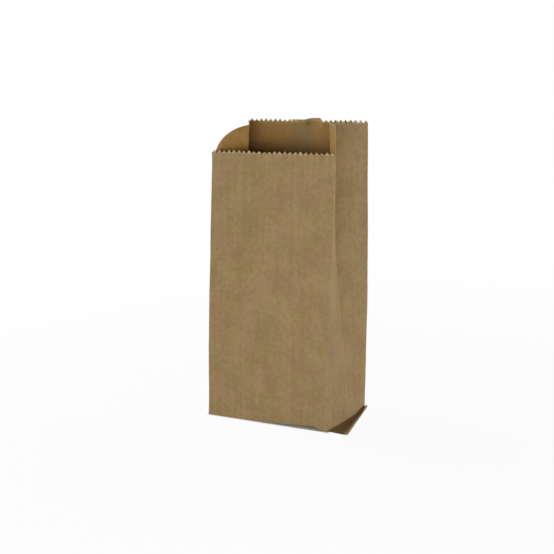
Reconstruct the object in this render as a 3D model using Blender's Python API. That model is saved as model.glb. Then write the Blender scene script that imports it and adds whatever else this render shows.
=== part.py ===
"""A brown paper lunch bag, folded from one sheet of kraft paper. Metres, +Z up.

The sheet is a tube with a front, a back and two side gussets, closed by a lapped seam down the back. Its bottom
end is folded into a flat rectangle: both gusset ends tuck in first, the back flap folds over them, and the longer
front flap folds over the back flap. Every cut edge is toothed. The bag stands opened, with its gussets still
half folded above the base. The origin is the middle of the base on its underside, and the front faces -Y.
"""

import math

import bmesh
import bpy
from mathutils import Vector

# The sheet
BAG_WIDTH = 0.130
GUSSET_WIDTH = 0.080
BAG_HEIGHT = 0.280
LIP_STEP = 0.023
PAPER = 0.00015

# The toothed cut
TOOTH_PITCH = 0.0054
TOOTH_HEIGHT = 0.0032

# The lapped seam, measured along the back from its corner on the right
SEAM_START = 0.0685
SEAM_WIDTH = 0.0135
SEAM_STEP = 0.0002

# The folded base
BACK_FLAP = 0.044
LAYER_GAP = 0.0001
TUCK_CLEARANCE = 0.0005

# The corner of the base that stands out on the right
EAR_FRONT = 0.0205
EAR_BACK = 0.0025
EAR_REACH = 0.001

# How far the bag is opened, and how it leans. The gusset halves bow, so the creases go in less than the mouth needs.
MOUTH_PUSH = 0.0239
CREASE_PUSH = 0.0212
BOW_SHARE = 0.6
TOP_LEAN = 0.010
TOP_SHIFT = 0.006
REAR_EDGE_BULGE = 0.0012

# The front fold of the base, which arches off the table beside the right corner
ARCH_HEIGHT = 0.0022
ARCH_START = 0.050
ARCH_PEAK = 0.114
ARCH_RISE = 0.040

# The top corner of the left gusset, curled outwards about a slanting line
CURL_SIDE = 0.038
CURL_BELOW_TOP = 0.004
CURL_RADIUS = 0.007
CURL_ANGLE = math.radians(135)

# Fineness of the folded surface
FOOT_ROWS = 2
WALL_ROWS = 14
LIP_ROWS = 5

# Share of the doubled thickness that one layer and two layers of paper have
ONE_LAYER = 0.5
TWO_LAYERS = 1.0

# Height of a shallow arc: its chord times the square root of this times the slack of the paper
ARC_FACTOR = 3 / 8

KRAFT_COLOUR = (0.305, 0.205, 0.098, 1.0)
KRAFT_ROUGHNESS = 0.85

# Values that follow from the sizes above
LAYER = PAPER + LAYER_GAP
FRONT_FLAP = BACK_FLAP + LIP_STEP
FRONT_LEVEL = 0.0
BACK_LEVEL = LAYER
TUCK_LEVEL = 2 * LAYER
EAR_LEVEL = TUCK_LEVEL + PAPER + LAYER
HALF_WIDTH = BAG_WIDTH / 2
HALF_GUSSET = GUSSET_WIDTH / 2
LIP_VALLEY = BAG_HEIGHT - LIP_STEP - TOOTH_HEIGHT
TOP_VALLEY = BAG_HEIGHT - TOOTH_HEIGHT
PANELS = ("front", "right", "back", "left")
BOTTOM_LEVEL = {"front": FRONT_LEVEL, "right": EAR_LEVEL, "back": BACK_LEVEL, "left": TUCK_LEVEL}


def clear_scene():
    """Removes every object of the open file."""
    for item in list(bpy.data.objects):
        bpy.data.objects.remove(item, do_unlink=True)


def smooth(t):
    """Rises smoothly from 0 to 1 as t goes from 0 to 1."""
    t = min(max(t, 0.0), 1.0)
    return t * t * (3 - 2 * t)


def opened_share(up):
    """How far the gussets are pushed in at a height, from 0 below the diagonal folds to 1 at the top."""
    opened = min(max((up - HALF_GUSSET) / (BAG_HEIGHT - HALF_GUSSET), 0.0), 1.0)
    return math.sin(math.pi / 2 * opened)


def mouth_depth(up):
    """Distance from front to back at a height, which shrinks as the gussets go in."""
    return 2 * math.sqrt(HALF_GUSSET**2 - (MOUTH_PUSH * opened_share(up)) ** 2)


def corner_point(side, end, up):
    """A point on one of the four upright folds: side is -1 or 1 for left or right, end for front or back."""
    share = up / BAG_HEIGHT
    x = side * HALF_WIDTH + TOP_LEAN * share
    if side > 0 and end > 0:
        x += REAR_EDGE_BULGE * math.sin(math.pi * share)
    return Vector((x, TOP_SHIFT * share + end * mouth_depth(up) / 2, up))


def crease_point(side, up):
    """A point on the centre crease of one gusset."""
    front = corner_point(side, -1, up)
    back = corner_point(side, 1, up)
    middle = (front + back) / 2
    middle.x -= side * CREASE_PUSH * opened_share(up)
    return middle


def arch_lift(x, up):
    """How far the front fold of the base, or the wall above it, is lifted off the table."""
    along = x + HALF_WIDTH
    lift = smooth((along - ARCH_START) / (ARCH_PEAK - ARCH_START))
    lift *= smooth((BAG_WIDTH - along) / (BAG_WIDTH - ARCH_PEAK))
    return ARCH_HEIGHT * lift * smooth(1 - up / ARCH_RISE)


def curled(point, from_edge, up):
    """Rolls the free top corner of the left gusset outwards about a slanting line."""
    start_up = LIP_VALLEY
    axis = Vector((CURL_SIDE, BAG_HEIGHT - CURL_BELOW_TOP - start_up)).normalized()
    square = Vector((-axis.y, axis.x))
    reach = Vector((from_edge, up - start_up))
    beyond = reach.dot(square)
    if beyond <= 0:
        return point
    foot = reach - beyond * square
    base = gusset_half(-1, -1, max(foot.x, 0.0), start_up + foot.y)
    edge = corner_point(-1, -1, BAG_HEIGHT)
    inward = (crease_point(-1, BAG_HEIGHT) - edge).normalized()
    upward = (edge - corner_point(-1, -1, start_up)).normalized()
    outward = upward.cross(inward).normalized()
    tangent = square.x * inward + square.y * upward
    turn = min(beyond / CURL_RADIUS, CURL_ANGLE)
    tail = beyond - turn * CURL_RADIUS
    along = CURL_RADIUS * math.sin(turn) + tail * math.cos(turn)
    out = CURL_RADIUS * (1 - math.cos(turn)) + tail * math.sin(turn)
    return base + along * tangent + out * outward


def gusset_half(side, end, from_edge, up):
    """A point on one half of a gusset, a distance along the paper from its upright fold. The half bows outwards."""
    edge = corner_point(side, end, up)
    crease = crease_point(side, up)
    share = from_edge / HALF_GUSSET
    chord = (crease - edge).length
    bow = BOW_SHARE * chord * math.sqrt(ARC_FACTOR * max(HALF_GUSSET / chord - 1, 0.0))
    outward = Vector((side * abs(crease.y - edge.y), -end * abs(crease.x - edge.x), 0.0)).normalized()
    return edge.lerp(crease, share) + outward * bow * math.sin(math.pi * share)


def wall_point(panel, across, up):
    """A point of the wall: across is the distance along the panel, counter-clockwise seen from above."""
    if panel == "front":
        point = corner_point(-1, -1, up).lerp(corner_point(1, -1, up), across / BAG_WIDTH)
        point.z += arch_lift(point.x, up)
        return point
    if panel == "back":
        return corner_point(1, 1, up).lerp(corner_point(-1, 1, up), across / BAG_WIDTH)
    side = 1 if panel == "right" else -1
    first_end = -1 if panel == "right" else 1
    if across <= HALF_GUSSET:
        return gusset_half(side, first_end, across, up)
    from_edge = GUSSET_WIDTH - across
    point = gusset_half(side, -first_end, from_edge, up)
    if panel == "left" and up > LIP_VALLEY:
        return curled(point, from_edge, up)
    return point


def steps(start, end, pitch):
    """Splits a stretch into whole teeth, and returns where each one starts."""
    count = max(1, round((end - start) / pitch))
    return [start + (end - start) * i / count for i in range(count)]


def panel_columns(panel):
    """The places across a panel where the toothed edge has a valley, from its first corner on."""
    if panel == "front":
        return steps(0.0, BAG_WIDTH, TOOTH_PITCH)
    if panel == "back":
        seam_end = SEAM_START + SEAM_WIDTH
        lap = [SEAM_START, SEAM_START + SEAM_STEP, seam_end - SEAM_STEP]
        return steps(0.0, SEAM_START, TOOTH_PITCH) + lap + steps(seam_end, BAG_WIDTH, TOOTH_PITCH)
    return steps(0.0, HALF_GUSSET, TOOTH_PITCH) + steps(HALF_GUSSET, GUSSET_WIDTH, TOOTH_PITCH)


def row_heights():
    """Heights of the rows of the wall: the memory crease of the base, the lip's valley and the top valley."""
    rows = [HALF_GUSSET * i / FOOT_ROWS for i in range(FOOT_ROWS)]
    rows +=[HALF_GUSSET + (LIP_VALLEY - HALF_GUSSET) * i / WALL_ROWS for i in range(WALL_ROWS)]
    rows += [LIP_VALLEY + LIP_STEP * i / LIP_ROWS for i in range(LIP_ROWS + 1)]
    return rows


class Sheet:
    """The outer surface of the paper, with one point for each name that is used twice."""

    def __init__(self):
        self.mesh = bmesh.new()
        self.points = {}
        self.columns = []
        for panel in PANELS:
            self.columns += [(panel, across) for across in panel_columns(panel)]
        self.rows = row_heights()
        self.lip_row = FOOT_ROWS + WALL_ROWS

    def point(self, name, place):
        """The mesh point of that name, made at the given place the first time."""
        if name not in self.points:
            self.points[name] = self.mesh.verts.new(place)
        return self.points[name]

    def wall(self, column, row, panel):
        """The point of the wall where a column meets a row. A corner column has a second, higher foot."""
        start_panel, across = self.columns[column % len(self.columns)]
        if row > 0:
            name = ("wall", column % len(self.columns), row)
            if panel == "left" and start_panel == "front":
                return self.point(name, wall_point("left", GUSSET_WIDTH, self.rows[row]))
            return self.point(name, wall_point(start_panel, across, self.rows[row]))
        if across > 0:
            return self.point(("foot", start_panel, across), self.foot(start_panel, across, start_panel))
        return self.point(("foot", column % len(self.columns), panel), self.foot(start_panel, across, panel))

    def foot(self, start_panel, across, panel):
        """Where a column stands: on the level of the flap that its panel carries."""
        place = wall_point(start_panel, across, 0.0)
        place.z += BOTTOM_LEVEL[panel]
        return place

    def face(self, corners):
        """One face of the outer surface, its corners counter-clockwise seen from outside."""
        return self.mesh.faces.new(corners)


def is_lapped(panel, across):
    """Says whether a column of the back lies where the seam is two sheets thick."""
    return panel == "back" and SEAM_START < across < SEAM_START + SEAM_WIDTH


def on_seam(panel, across):
    """Says whether the cell that starts at a column belongs to the seam, whose top has no teeth."""
    return panel == "back" and SEAM_START <= across < SEAM_START + SEAM_WIDTH


def build_walls(sheet):
    """The four walls up to their valleys, and the teeth on them."""
    count = len(sheet.columns)
    for c in range(count):
        panel, across = sheet.columns[c]
        next_panel = sheet.columns[(c + 1) % count][0]
        top = sheet.lip_row if panel == "front" else len(sheet.rows) - 1
        for r in range(1, top):
            low = [sheet.wall(c, r, panel), sheet.wall(c + 1, r, panel)]
            high = [sheet.wall(c + 1, r + 1, panel), sheet.wall(c, r + 1, panel)]
            sheet.face(low + high)
        build_foot(sheet, c, panel, across, next_panel)
        build_tooth(sheet, c, panel, across, top)


def build_foot(sheet, c, panel, across, next_panel):
    """The lowest cell of a column, which takes in the higher foot of a corner and the slit beside a tuck."""
    low = [sheet.wall(c, 0, panel), sheet.wall(c + 1, 0, panel)]
    corners = [low[0]]
    if panel == "left" and across == 0:
        corners.append(slit_point(sheet, TUCK_CLEARANCE))
    if panel == "left" and next_panel != "left":
        corners.append(slit_point(sheet, GUSSET_WIDTH - TUCK_CLEARANCE))
    corners.append(low[1])
    if panel in ("front", "back") and next_panel != panel:
        corners.append(sheet.wall(c + 1, 0, next_panel))
    corners += [sheet.wall(c + 1, 1, panel), sheet.wall(c, 1, panel)]
    if panel in ("front", "back") and across == 0:
        corners.append(sheet.wall(c, 0, PANELS[PANELS.index(panel) - 1]))
    sheet.face(corners)


def slit_point(sheet, across):
    """The end of the left tuck's fold, just inside a corner of the base."""
    return sheet.point(("foot", "left", across), sheet.foot("left", across, "left"))


def build_tooth(sheet, c, panel, across, top):
    """The tooth over one cell of the cut edge, or the plain top of the seam."""
    count = len(sheet.columns)
    next_panel, next_across = sheet.columns[(c + 1) % count]
    end = next_across if next_panel == panel else panel_width(panel)
    low = [sheet.wall(c, top, panel), sheet.wall(c + 1, top, panel)]
    tip_height = sheet.rows[top] + TOOTH_HEIGHT
    if on_seam(panel, across):
        high = [
            sheet.point(("tip", panel, end), wall_point(panel, end, tip_height)),
            sheet.point(("tip", panel, across), wall_point(panel, across, tip_height)),
        ]
        sheet.face(low + high)
        return
    tip = sheet.point(("tip", panel, across, end), wall_point(panel, (across + end) / 2, tip_height))
    sheet.face(low + [tip])


def panel_width(panel):
    """Width of a panel laid flat."""
    return BAG_WIDTH if panel in ("front", "back") else GUSSET_WIDTH


def toothed_edge(sheet, name, start, end, outward):
    """Points of a toothed edge from start to end, whose teeth stand out along a direction."""
    length = (end - start).length
    marks = steps(0.0, length, TOOTH_PITCH) + [length]
    points = []
    for i, mark in enumerate(marks):
        points.append(sheet.point((name, "valley", i), start.lerp(end, mark / length)))
        if i + 1 < len(marks):
            middle = (mark + marks[i + 1]) / 2
            tip = start.lerp(end, middle / length) + outward * TOOTH_HEIGHT
            points.append(sheet.point((name, "tip", i), tip))
    return points


def panel_feet(sheet, panel):
    """The feet of a panel in order, with both of its corners."""
    first = next(c for c, column in enumerate(sheet.columns) if column[0] == panel)
    feet = [sheet.wall(first, 0, panel)]
    c = first + 1
    while c < len(sheet.columns) and sheet.columns[c][0] == panel:
        feet.append(sheet.wall(c, 0, panel))
        c += 1
    feet.append(sheet.wall(c, 0, panel))
    return feet


def first_row():
    """Depth of the front flap's first row, over which the arch of the front fold comes down to the table."""
    return BAG_WIDTH / len(panel_columns("front"))


def tuck_outline(sheet, side):
    """The free outline of a tuck: it slants in from the corners of the base, clear of the arched row of the front
    flap, runs straight, and ends in teeth. The left one is drawn from back to front, the right one the other way."""
    inset = first_row() + TUCK_CLEARANCE
    half = HALF_GUSSET - inset
    slant_x = side * (HALF_WIDTH - inset - TUCK_CLEARANCE)
    edge_x = side * (HALF_WIDTH - BACK_FLAP + TOOTH_HEIGHT)
    name = ("tuck", side)
    slants = [sheet.point((name, s), Vector((slant_x, -side * s * half, TUCK_LEVEL))) for s in (1, -1)]
    start = Vector((edge_x, -side * half, TUCK_LEVEL))
    end = Vector((edge_x, side * half, TUCK_LEVEL))
    edge = toothed_edge(sheet, name, start, end, Vector((-side, 0, 0)))
    return [slants[0]] + edge + [slants[1]]


def build_front_flap(sheet):
    """The last flap: one row under the arched front fold, and then one flat piece to its toothed edge."""
    feet = panel_feet(sheet, "front")
    pitch = first_row()
    row = [None]
    for i in range(1, len(feet) - 1):
        place = Vector((i * pitch - HALF_WIDTH, pitch - HALF_GUSSET, FRONT_LEVEL))
        row.append(sheet.point(("front_flap", i), place))
    last = len(feet) - 1
    sheet.face([feet[1], feet[0], row[1]])
    sheet.face([feet[last], feet[last - 1], row[last - 1]])
    for i in range(1, last - 1):
        sheet.face([feet[i + 1], feet[i], row[i], row[i + 1]])
    sheet.face(row[:0:-1] + flap_end(sheet, "front_flap", -1, FRONT_FLAP, FRONT_LEVEL))


def build_back_flap(sheet):
    """The flap under the front flap, one flat piece."""
    feet = panel_feet(sheet, "back")
    sheet.face(feet[::-1] + flap_end(sheet, "back_flap", 1, BACK_FLAP, BACK_LEVEL))


def flap_end(sheet, name, end, depth, level):
    """The free outline of a long flap: ends folded at 45 degrees up to the middle, then straight to the teeth."""
    free_half = HALF_WIDTH - HALF_GUSSET
    edge_y = end * (HALF_GUSSET - depth + TOOTH_HEIGHT)
    starts = [Vector((s * end * free_half, 0, level)) for s in (1, -1)]
    shoulders = [sheet.point((name, "shoulder", i), starts[i]) for i in (0, 1)]
    corners = [Vector((start.x, edge_y, level)) for start in starts]
    edge = toothed_edge(sheet, name, corners[0], corners[1], Vector((0, -end, 0)))
    return [shoulders[0]] + edge + [shoulders[1]]


def build_left_tuck(sheet):
    """The end of the left gusset, folded in over the base."""
    feet = panel_feet(sheet, "left")[1:-1]
    slits = [slit_point(sheet, TUCK_CLEARANCE), slit_point(sheet, GUSSET_WIDTH - TUCK_CLEARANCE)]
    sheet.face([slits[1]] + feet[::-1] + [slits[0]] + tuck_outline(sheet, -1))


def build_right_ear(sheet):
    """The end of the right gusset: it stands out on the table as a doubled ear, and tucks in below itself."""
    feet = panel_feet(sheet, "right")
    front_tip = Vector((HALF_WIDTH + EAR_FRONT, -HALF_GUSSET - EAR_REACH, 0.0))
    back_tip = Vector((HALF_WIDTH + EAR_BACK, HALF_GUSSET, 0.0))
    upper, lower = [], []
    for k in range(len(feet)):
        fold = front_tip.lerp(back_tip, k / (len(feet) - 1))
        upper.append(sheet.point(("ear", "upper", k), fold + Vector((0, 0, EAR_LEVEL))))
        lower.append(sheet.point(("ear", "lower", k), fold + Vector((0, 0, TUCK_LEVEL))))
    for k in range(len(feet) - 1):
        sheet.face([feet[k + 1], feet[k], upper[k], upper[k + 1]])
        sheet.face([upper[k + 1], upper[k], lower[k], lower[k + 1]])
    turn_x = HALF_WIDTH + TUCK_CLEARANCE
    turn_y = HALF_GUSSET - TUCK_CLEARANCE
    turns = [sheet.point(("ear", "turn", s), Vector((turn_x, s * turn_y, TUCK_LEVEL))) for s in (-1, 1)]
    sheet.face(lower[::-1] + [turns[0]] + tuck_outline(sheet, 1) + [turns[1]])


def kraft_paper():
    """Plain brown kraft paper."""
    material = bpy.data.materials.new("kraft_paper")
    material.use_nodes = True
    shader = material.node_tree.nodes["Principled BSDF"]
    shader.inputs["Base Color"].default_value = KRAFT_COLOUR
    shader.inputs["Roughness"].default_value = KRAFT_ROUGHNESS
    shader.inputs["Metallic"].default_value = 0.0
    material.diffuse_color = KRAFT_COLOUR
    return material


def build_bag():
    """Folds the sheet, and gives it the thickness of the paper, doubled along the seam."""
    sheet = Sheet()
    build_walls(sheet)
    build_front_flap(sheet)
    build_back_flap(sheet)
    build_left_tuck(sheet)
    build_right_ear(sheet)
    sheet.mesh.verts.index_update()
    lapped = []
    for name, vertex in sheet.points.items():
        if name[0] == "wall":
            panel, across = sheet.columns[name[1]]
        elif name[0] in ("foot", "tip"):
            panel, across = name[1], name[2]
        else:
            continue
        if is_lapped(panel, across):
            lapped.append(vertex.index)
    mesh = bpy.data.meshes.new("paper_bag")
    sheet.mesh.to_mesh(mesh)
    sheet.mesh.free()
    mesh.materials.append(kraft_paper())
    bag = bpy.data.objects.new("paper_bag", mesh)
    bpy.context.scene.collection.objects.link(bag)
    layers = bag.vertex_groups.new(name="layers")
    layers.add(range(len(mesh.vertices)), ONE_LAYER, "REPLACE")
    layers.add(lapped, TWO_LAYERS, "REPLACE")
    thickness = bag.modifiers.new("paper", "SOLIDIFY")
    thickness.thickness = 2 * PAPER
    thickness.offset = -1.0
    thickness.use_even_offset = True
    thickness.use_quality_normals = True
    thickness.vertex_group = layers.name
    return bag


clear_scene()
build_bag()
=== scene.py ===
"""Brown paper lunch bag standing open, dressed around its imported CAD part.

Metres, +Z up, the front faces -Y.
"""

import logging
import math
import random
from collections.abc import Mapping, Sequence
from dataclasses import dataclass, field
from enum import Enum
from typing import Any

import bmesh
import bpy
from mathutils import Matrix, Vector
from mathutils.noise import noise


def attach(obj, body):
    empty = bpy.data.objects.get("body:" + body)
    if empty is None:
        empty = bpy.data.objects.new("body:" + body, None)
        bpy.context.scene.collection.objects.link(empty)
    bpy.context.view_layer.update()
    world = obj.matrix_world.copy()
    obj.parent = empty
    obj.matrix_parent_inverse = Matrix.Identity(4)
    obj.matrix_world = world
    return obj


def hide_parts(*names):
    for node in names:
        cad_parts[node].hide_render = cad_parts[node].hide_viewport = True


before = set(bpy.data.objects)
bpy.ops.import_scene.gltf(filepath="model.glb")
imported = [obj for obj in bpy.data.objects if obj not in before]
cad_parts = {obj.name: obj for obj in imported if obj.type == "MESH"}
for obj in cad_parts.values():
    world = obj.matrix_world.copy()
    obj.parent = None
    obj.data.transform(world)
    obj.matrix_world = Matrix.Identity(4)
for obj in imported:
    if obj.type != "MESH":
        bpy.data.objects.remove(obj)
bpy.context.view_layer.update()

LOG = logging.getLogger("lunch_bag")
PLAN_MAP = "paper_plan"
EDGE_MARK = "cut_edge"
INSIDE_MARK = "inner_side"
BAG_NAME = "kraft_bag"

# A shallow arc of length s over a chord c bows out by c * sqrt(ARC_BOW * (s / c - 1)).
ARC_BOW = 3.0 / 8.0


def ease(share: float) -> float:
    """Rises smoothly from 0 to 1 as the share goes from 0 to 1."""
    share = min(max(share, 0.0), 1.0)
    return share * share * (3.0 - 2.0 * share)


def between(value: float, low: float, high: float) -> float:
    """Rises smoothly from 0 at the low end to 1 at the high end."""
    return ease((value - low) / (high - low))


class Panel(Enum):
    """The four panels of the tube, in order round the bag, counter-clockwise seen from above."""

    FRONT = 0
    RIGHT = 1
    BACK = 2
    LEFT = 3


@dataclass(frozen=True)
class SheetCut:
    """The paper tube laid flat: its panels, its toothed cuts and its glued seam."""

    width: float = 0.130
    gusset: float = 0.080
    height: float = 0.280
    lip_step: float = 0.023
    paper: float = 0.00015
    tooth_pitch: float = 0.0054
    tooth_height: float = 0.0032
    tooth_columns: int = 4
    tooth_bend: float = 0.0009
    tooth_wear: float = 0.32
    seam_start: float = 0.0685
    seam_width: float = 0.0135
    seam_columns: int = 8
    fold_strip: float = 0.0004
    row_height: float = 0.0025

    @property
    def around(self) -> float:
        """Length of the paper round the bag."""
        return 2.0 * (self.width + self.gusset)

    @property
    def lip_valley(self) -> float:
        """Height of the tooth valleys on the front panel."""
        return self.height - self.lip_step - self.tooth_height

    @property
    def top_valley(self) -> float:
        """Height of the tooth valleys on the other three panels."""
        return self.height - self.tooth_height

    @property
    def seam_end(self) -> float:
        """Place across the back panel where the lap ends."""
        return self.seam_start + self.seam_width

    def panel_width(self, panel: Panel) -> float:
        """Width of one panel."""
        return self.width if panel in (Panel.FRONT, Panel.BACK) else self.gusset

    def panel_start(self, panel: Panel) -> float:
        """Distance round the tube at which a panel begins."""
        return sum(self.panel_width(other) for other in Panel if other.value < panel.value)

    def toothed_runs(self, panel: Panel) -> list[tuple[float, float]]:
        """Stretches of a panel's cut that carry whole teeth.

        Args:
            panel: The panel.

        Returns:
            Start and end of each stretch across the panel.
        """
        if panel is Panel.FRONT:
            return [(0.0, self.width)]
        if panel is Panel.BACK:
            return [(0.0, self.seam_start), (self.seam_end, self.width)]
        return [(0.0, self.gusset / 2), (self.gusset / 2, self.gusset)]

    def tooth_at(self, panel: Panel, across: float) -> tuple[int, float]:
        """Finds the tooth at a place across a panel.

        Args:
            panel: The panel.
            across: Distance across it.

        Returns:
            A number for the tooth, and how far up the tooth its edge is there, from 0 to 1.
        """
        for run, (start, end) in enumerate(self.toothed_runs(panel)):
            if start <= across <= end:
                count = round((end - start) / self.tooth_pitch)
                place = (across - start) / (end - start) * count
                number = min(int(place + 1e-9), count - 1)
                share = 1.0 - abs(2.0 * (place - number) - 1.0)
                return 1000 * panel.value + 100 * run + number, share
        return -1, 1.0

    def columns(self, panel: Panel) -> list[float]:
        """Places across a panel where the mesh has a column, from its first fold on.

        Args:
            panel: The panel.

        Returns:
            Distances across the panel, the far fold left out.
        """
        marks: list[float] = []
        for start, end in self.toothed_runs(panel):
            count = round((end - start) / self.tooth_pitch) * self.tooth_columns
            marks += [start + (end - start) * i / count for i in range(count)]
            marks += [start + self.fold_strip, end - self.fold_strip]
        if panel is Panel.BACK:
            count = self.seam_columns
            marks += [self.seam_start + self.seam_width * i / count for i in range(count)]
            marks += [self.seam_start + self.fold_strip, self.seam_end - self.fold_strip]
        return sorted({round(mark, 7) for mark in marks})


@dataclass(frozen=True)
class Stance:
    """How the opened bag stands: its lean, its pushed-in gussets, and the front fold that lifts off the table."""

    cut: SheetCut
    lean: float = 0.0100
    shift: float = 0.0060
    rear_bulge: float = 0.0012
    rear_bulge_skew: float = 1.6
    rear_lean: float = 0.0008
    left_rear_lean: float = 0.0030
    left_rear_rise: float = 0.0011
    left_rear_flatness: float = 0.8
    left_crease_ease: float = 0.0010
    right_crease_push: float = 0.0024
    right_push_heights: tuple[float, float] = (0.140, 0.220)
    right_crease_rise: float = 0.0020
    right_rise_start: float = 0.170
    mouth_push: float = 0.0239
    crease_table: tuple[tuple[float, float], ...] = (
        (0.000, 0.0000),
        (0.030, 0.0004),
        (0.057, 0.0034),
        (0.080, 0.0064),
        (0.105, 0.0097),
        (0.136, 0.0133),
        (0.162, 0.0158),
        (0.205, 0.0182),
        (0.249, 0.0200),
        (0.280, 0.0212),
    )
    crease_smoothing: float = 0.012
    foot_bulge: float = 0.0024
    foot_bulge_height: float = 0.034
    arch_height: float = 0.0034
    arch_start: float = 0.050
    arch_peak: float = 0.114
    arch_rise: float = 0.040
    fold_radius: float = 0.0008
    fold_radius_height: float = 0.012
    lip_blend: float = 0.006
    bow_share: float = 0.6

    def mouth_half(self, up: float) -> float:
        """Works out half the distance from front to back.

        Args:
            up: Height along the paper.

        Returns:
            The half distance.
        """
        half = self.cut.gusset / 2
        opened = min(max((up - half) / (self.cut.height - half), 0.0), 1.0)
        push = self.mouth_push * math.sin(math.pi / 2 * opened)
        return math.sqrt(half**2 - push**2)

    def crease_push(self, up: float) -> float:
        """Looks up how far a gusset's centre crease is pushed in.

        Args:
            up: Height along the paper.

        Returns:
            The push.
        """
        table = self.crease_table
        for (low, push), (high, next_push) in zip(table, table[1:]):
            if up <= high:
                return push + (next_push - push) * (up - low) / (high - low)
        return table[-1][1]

    def smooth_push(self, up: float) -> float:
        """Rounds off the corners of the crease's table.

        Args:
            up: Height along the paper.

        Returns:
            The smoothed push.
        """
        reach = self.crease_smoothing
        samples = (-2, -1, 0, 1, 2)
        return sum(self.crease_push(max(up + reach * s / 2, 0.0)) for s in samples) / len(samples)

    def corner(self, side: int, end: int, up: float) -> Vector:
        """Finds a point on one of the four upright folds.

        Args:
            side: -1 for left, 1 for right.
            end: -1 for front, 1 for back.
            up: Height along the paper.

        Returns:
            The point.
        """
        share = up / self.cut.height
        x = side * self.cut.width / 2 + self.lean * share
        if side > 0 and end > 0:
            x += self.rear_bulge * math.sin(math.pi * share**self.rear_bulge_skew) + self.rear_lean * share
        z = up
        if side < 0 and end > 0:
            x += self.left_rear_lean * share
            z += self.left_rear_rise * share
        return Vector((x, self.shift * share + end * self.mouth_half(up), z))

    def crease(self, side: int, up: float) -> Vector:
        """Finds a point on the centre crease of one gusset.

        Args:
            side: -1 for left, 1 for right.
            up: Height along the paper.

        Returns:
            The point.
        """
        middle = (self.corner(side, -1, up) + self.corner(side, 1, up)) / 2
        middle.x -= side * self.smooth_push(up)
        if side < 0:
            middle.x -= self.left_crease_ease * up / self.cut.height
        else:
            middle.x -= self.right_crease_push * between(up, *self.right_push_heights)
            middle.z += self.right_crease_rise * between(up, self.right_rise_start, self.cut.height)
        return middle

    def gusset_half(self, side: int, end: int, from_edge: float, up: float) -> Vector:
        """Finds a point on one half of a gusset, which bows a little between its two folds.

        Args:
            side: -1 for left, 1 for right.
            end: -1 for the front half, 1 for the back half.
            from_edge: Distance along the paper from the half's upright fold.
            up: Height along the paper.

        Returns:
            The point.
        """
        half = self.cut.gusset / 2
        share = from_edge / half
        edge = self.corner(side, end, up)
        crease = self.crease(side, up)
        place = edge.lerp(crease, share)
        chord = (crease - edge).length
        bow = self.bow_share * chord * math.sqrt(max(ARC_BOW * (half / chord - 1.0), 0.0))
        if side < 0 and end > 0:
            bow *= 1.0 - self.left_rear_flatness * up / self.cut.height
        outward = Vector((side * abs(crease.y - edge.y), -end * abs(crease.x - edge.x), 0.0)).normalized()
        place += outward * bow * math.sin(math.pi * share)
        if side > 0:
            near_foot = 1.0 - between(up, 0.0, self.foot_bulge_height)
            place.x += self.foot_bulge * near_foot * math.sin(math.pi / 2 * share)
        return place

    def arch_lift(self, x: float, up: float) -> float:
        """Works out how far the front fold of the base, or the wall above it, is lifted off the table.

        Args:
            x: Distance from the bag's middle, to the right.
            up: Height along the paper.

        Returns:
            The lift.
        """
        along = x + self.cut.width / 2
        lift = between(along, self.arch_start, self.arch_peak)
        lift *= between(self.cut.width - along, 0.0, self.cut.width - self.arch_peak)
        return self.arch_height * lift * ease(1.0 - up / self.arch_rise)


@dataclass(frozen=True)
class CornerCurl:
    """The free top corner of the left gusset, rolled outwards over an arc, tightest beside the front's cut."""

    centre_in: float = 0.0462
    centre_down: float = 0.0513
    arc_radius: float = 0.0478
    tight_roll: float = 0.0007
    wide_roll: float = 0.0035
    widening_length: float = 0.0250
    most_turn: float = math.radians(150.0)

    def rolled(self, stance: Stance, from_edge: float, up: float) -> Vector:
        """Moves a point of the left gusset's front half that lies beyond the arc.

        Args:
            stance: How the bag stands.
            from_edge: Distance along the paper from the free edge.
            up: Height along the paper.

        Returns:
            The point after rolling.
        """
        here = Vector((from_edge, up))
        centre = Vector((self.centre_in, stance.cut.height - self.centre_down))
        reach = here - centre
        start = Vector((0.0, stance.cut.lip_valley)) - centre
        along_arc = (math.atan2(start.y, start.x) - math.atan2(reach.y, reach.x)) * self.arc_radius
        wide = math.sin(math.pi / 2 * min(max(along_arc / self.widening_length, 0.0), 1.0))
        roll = self.tight_roll + (self.wide_roll - self.tight_roll) * wide
        beyond = reach.length - self.arc_radius + roll
        if beyond <= 0.0 or reach.y < 0.0:
            return stance.gusset_half(-1, -1, from_edge, up)
        square = reach.normalized()
        foot = here - beyond * square
        base = stance.gusset_half(-1, -1, max(foot.x, 0.0), foot.y)
        inward = (stance.crease(-1, up) - stance.corner(-1, -1, up)).normalized()
        upward = Vector((0.0, 0.0, 1.0))
        outward = upward.cross(inward).normalized()
        tangent = square.x * inward + square.y * upward
        turn = min(beyond / roll, self.most_turn)
        tail = beyond - turn * roll
        along = roll * math.sin(turn) + tail * math.cos(turn)
        out = roll * (1.0 - math.cos(turn)) + tail * math.sin(turn)
        return base + along * tangent + out * outward


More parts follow.
